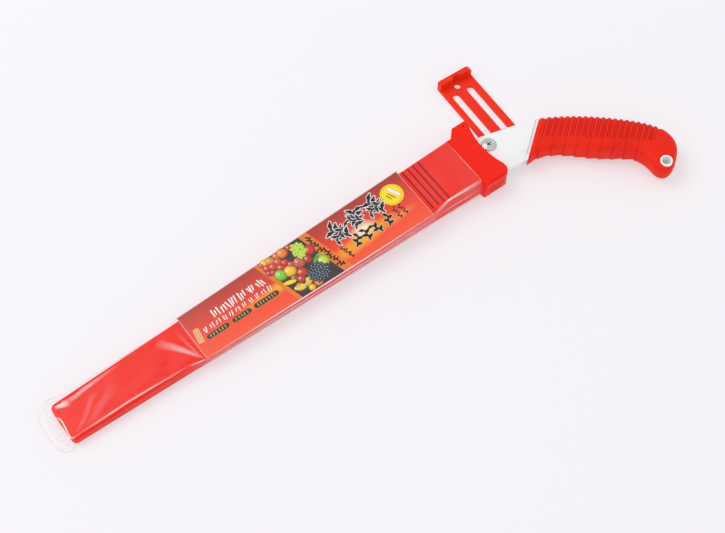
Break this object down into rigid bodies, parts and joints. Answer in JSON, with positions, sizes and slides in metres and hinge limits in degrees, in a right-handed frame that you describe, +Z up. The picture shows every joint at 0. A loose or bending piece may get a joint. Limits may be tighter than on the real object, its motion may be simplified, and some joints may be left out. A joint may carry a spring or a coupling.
{
  "type": "pruning saw with sheath",
  "caption": "Fixed-blade pruning saw with a hooked ribbed grip, pushed home in a tapering sheath with a flared mouth and a swivelling slotted belt hanger.",
  "frame": {"origin": "centre of the underside of the overall box of the sheathed saw with its hanger swivelled out", "axes": "+X along the sheath from its closed tip towards the handle, +Y to the side that the hanger points to at rest, +Z up from the back of the sheath"},
  "size_m": [0.5136, 0.1736, 0.0231],
  "materials": {
    "sheath_red": "moulded, satin gloss",
    "hanger_red": "moulded, satin",
    "printed_card": "printed coated card",
    "clear_film": "clear film, glossy",
    "blade_steel": "ground and polished",
    "holder_white": "satin white",
    "grip_rubber": "soft satin, ribbed",
    "steel_zinc": "zinc plated",
    "spring_steel": "spring steel",
    "pad_nylon": "nylon"
  },
  "bodies": {
    "sheath": {"sheath_front_shell": "sheath_red", "sheath_back_shell": "sheath_red", "mouth_collar": "sheath_red", "collar_screws": "steel_zinc", "guide_pad_front": "pad_nylon", "guide_pad_back": "pad_nylon", "retaining_spring": "spring_steel", "hanger_pivot": "steel_zinc", "pivot_washer": "steel_zinc", "label_card": "printed_card", "film_sleeve": "clear_film"},
    "hanger": {"belt_hanger": "hanger_red"},
    "saw": {"saw_blade": "blade_steel", "holder_front_half": "holder_white", "holder_back_half": "holder_white", "blade_bolt": "steel_zinc", "blade_nut": "steel_zinc", "tang_pin": "steel_zinc", "core_rivets": "steel_zinc", "grip_ring": "holder_white", "grip": "grip_rubber", "lanyard_tube": "holder_white"}
  },
  "joints": [
    {"name": "saw_draw", "type": "slide", "parent": "sheath", "child": "saw", "axis": [0.9999, 0, 0.0162], "range_m": [0, 0.36]},
    {"name": "hanger_swivel", "type": "hinge", "parent": "sheath", "child": "hanger", "pos_m": [0.158, 0.0115, 0.0013], "axis": [0, 0, 1], "range_deg": [-63, 10]}
  ]
}
